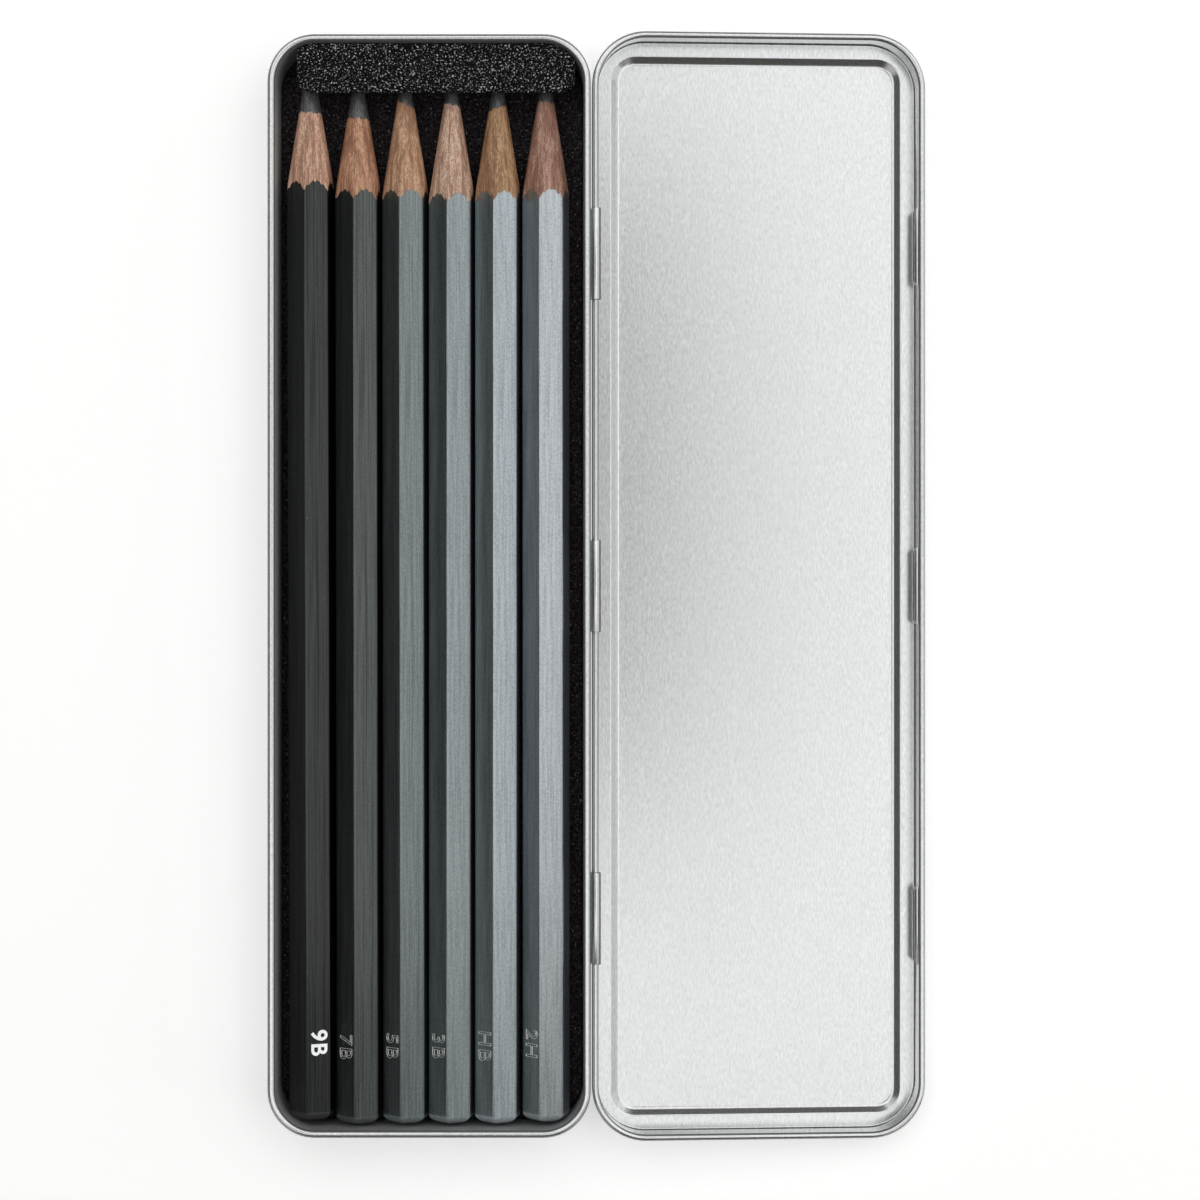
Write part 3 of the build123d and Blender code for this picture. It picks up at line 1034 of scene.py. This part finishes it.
def foil_material(name, colour, metallic):
    """Stamped foil, rubbed through in specks."""
    material, tree, shader = start_material(name, Metallic=metallic)
    marks = placed(tree, "marks", object_vector(tree), Speck_Scale=5000.0, Rarity=0.66)
    wear_and_edge_shade = sums(tree, "MULTIPLY", marks["Speck"], 0.6)
    tree.links.new(blended(tree, wear_and_edge_shade, colour, shaded(colour, 0.45)), shader.inputs["Base Color"])
    tree.links.new(ranged(tree, marks["Rub"], 0.0, 1.0, 0.25, 0.4), shader.inputs["Roughness"])
    return material


# The object

tray_tinplate = tinplate_material("drawn_tinplate", wall_dullness=0.30, wall_metal=0.7)
lid_tinplate = tinplate_material("lid_tinplate", wall_dullness=-0.14, wall_metal=0.96)
tray_shell = make_tray(tray_tinplate)
make_knuckles(lid_tinplate)
lid_shell = make_lid(lid_tinplate)
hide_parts("base_tray")
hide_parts("lid")

# Foam colours: the pore colour is painted shade in the cells, and the glint colour is a painted highlight.
liner_foam = foam_material(
    "liner_foam",
    pore=(0.008, 0.006, 0.007),
    wall=(0.034, 0.028, 0.032),
    painted_glint=(0.50, 0.48, 0.49),
    cell_scale=2100.0,
    painted_glint_level=0.625,
)
block_foam = foam_material(
    "block_foam",
    pore=(0.002, 0.002, 0.002),
    wall=(0.009, 0.009, 0.010),
    painted_glint=(0.98, 0.98, 1.0),
    cell_scale=2700.0,
    painted_glint_level=0.565,
)
make_foam("foam_sheet", "foam_liner", 0.6, 1.4, 0.12, 0.0, liner_foam)
make_foam("foam_block", "tip_foam", 0.24, 0.75, 0.22, block_lean, block_foam)

graphite = graphite_material()
bright_foil = foil_material("bright_foil", (0.86, 0.87, 0.88), 1.0)
dull_foil = foil_material("dull_foil", (0.80, 0.81, 0.81), 0.5)
for number, pencil in enumerate(pencils, start=1):
    coats = (
        lacquer_material(f"lacquer_{number}", pencil.lacquer, 0.95, pencil.streaks),
        cedar_material(number, pencil.wood),
        lacquer_material(f"dip_{number}", pencil.lacquer, 0.25, 0.0),
    )
    place = make_pencil(number, pencil, coats, graphite)
    filled = number == 1
    make_grade(number, pencil.grade, place, filled, bright_foil if filled else dull_foil)


# Studio: pale floor, soft light from above and from the right, dim surroundings. Metres.

floor_half = 8.0
floor_level = -0.02 * MM
floor_colour = (0.97, 0.97, 0.97, 1.0)
floor_lift = 0.40
overhead_height = 0.9
overhead_radiance = 1.28
overhead_x, overhead_y = (-0.70, 0.48), (-0.41, 1.1)
opening_x, opening_y = (-0.11, 0.172), (-0.10, 0.22)
room_dim, room_pale = (0.048, 0.048, 0.040), (0.62, 0.62, 0.61)


def make_floor():
    """Floor that stays white in view, fades to white far off, and is clear from below."""
    floor = bpy.data.objects.new("floor", bpy.data.meshes.new("floor"))
    sides = ((-1, -1), (1, -1), (1, 1), (-1, 1))
    corners = [(x * floor_half, y * floor_half, floor_level) for x, y in sides]
    floor.data.from_pydata(corners, [], [(0, 1, 2, 3)])
    bpy.context.scene.collection.objects.link(floor)
    material, tree, shader = start_material("studio_floor", Roughness=1.0, Specular_IOR_Level=0.0)
    shader.inputs["Base Color"].default_value = floor_colour
    shader.inputs["Emission Color"].default_value = (1.0, 1.0, 1.0, 1.0)
    path = tree.nodes.new("ShaderNodeLightPath").outputs
    camera_ray = path["Is Camera Ray"]
    seen = sums(tree, "MAXIMUM", camera_ray, path["Is Glossy Ray"])
    seen = sums(tree, "MAXIMUM", seen, path["Is Transmission Ray"])
    away = tree.nodes.new("ShaderNodeVectorMath")
    away.operation = "LENGTH"
    tree.links.new(object_vector(tree), away.inputs[0])
    far = ranged(tree, away.outputs["Value"], 0.35, 1.0, 0.0, 1.0 - floor_lift)
    far = sums(tree, "MULTIPLY", far, camera_ray)
    lift = sums(tree, "ADD", sums(tree, "MULTIPLY", seen, floor_lift), far)
    behind = tree.nodes.new("ShaderNodeNewGeometry").outputs["Backfacing"]
    under = sums(tree, "MULTIPLY", behind, camera_ray)
    tree.links.new(lift, shader.inputs["Emission Strength"])
    tree.links.new(sums(tree, "SUBTRACT", 1.0, under), shader.inputs["Alpha"])
    floor.data.materials.append(material)


def make_lamp(name, place, aim, width, depth, radiance):
    """Soft rectangular lamp of a given brightness, turned towards a point."""
    light = bpy.data.lights.new(name, "AREA")
    light.shape, light.size, light.size_y = "RECTANGLE", width, depth
    light.energy = radiance * math.pi * width * depth
    lamp = bpy.data.objects.new(name, light)
    lamp.location = place
    lamp.rotation_euler = (Vector(aim) - Vector(place)).to_track_quat("-Z", "Y").to_euler()
    bpy.context.scene.collection.objects.link(lamp)


def make_overhead():
    """Four lamps in one plane that leave a dark opening round the camera."""
    (left, right), (front, back) = overhead_x, overhead_y
    (open_left, open_right), (open_front, open_back) = opening_x, opening_y
    panels = {
        "overhead_left": (left, open_left, front, back),
        "overhead_right": (open_right, right, front, back),
        "overhead_front": (open_left, open_right, front, open_front),
        "overhead_back": (open_left, open_right, open_back, back),
    }
    for name, (x0, x1, y0, y1) in panels.items():
        place = ((x0 + x1) / 2, (y0 + y1) / 2, overhead_height)
        make_lamp(name, place, (*place[:2], 0), x1 - x0, y1 - y0, overhead_radiance)


def make_world():
    """Dim room whose four corners are pale in reflections, so that metal seen from there shines."""
    world = bpy.data.worlds.new("studio")
    world.use_nodes = True
    tree = world.node_tree
    direction = tree.nodes.new("ShaderNodeSeparateXYZ")
    tree.links.new(tree.nodes.new("ShaderNodeTexCoord").outputs["Generated"], direction.inputs[0])
    x, y, z = direction.outputs
    across = sums(tree, "SUBTRACT", 1.0, sums(tree, "MULTIPLY", z, z))
    product = sums(tree, "ABSOLUTE", sums(tree, "MULTIPLY", x, y))
    corner = ranged(tree, sums(tree, "DIVIDE", product, across), 0.3, 0.43)
    below, above = ranged(tree, z, 0.65, 0.8, 1.0, 0.0), ranged(tree, z, 0.3, 0.4)
    band = sums(tree, "MINIMUM", below, above)
    glossy = tree.nodes.new("ShaderNodeLightPath").outputs["Is Glossy Ray"]
    pale = sums(tree, "MULTIPLY", sums(tree, "MULTIPLY", corner, band), glossy)
    colour = blended(tree, pale, room_dim, room_pale)
    tree.links.new(colour, tree.nodes["Background"].inputs["Color"])
    bpy.context.scene.world = world


make_floor()
make_overhead()
make_lamp("right_high", (0.66, 0.25, 0.85), (0.0, 0.25, 0.0), 1.4, 0.50, 0.97)
make_lamp("right_low", (0.90, 0.25, 0.27), (0.0, 0.25, 0.0), 1.4, 0.6, 0.85)
make_world()
bpy.context.scene.view_settings.view_transform = "Standard"

# Camera straight above, at the photograph's distance and framing
camera_height = 0.465
camera_x = 0.02707
seen_width = 0.1997
frame_pixels = 1200
axis_left, axis_up = 4, 14
camera_data = bpy.data.cameras.new("camera")
camera_data.lens = camera_data.sensor_width * camera_height / seen_width
camera_data.shift_x = axis_left / frame_pixels
camera_data.shift_y = -axis_up / frame_pixels
camera_data.clip_start, camera_data.clip_end = 0.01, 10.0
camera = bpy.data.objects.new("camera", camera_data)
camera.location = (camera_x, 0.0, camera_height)
bpy.context.scene.collection.objects.link(camera)
bpy.context.scene.camera = camera
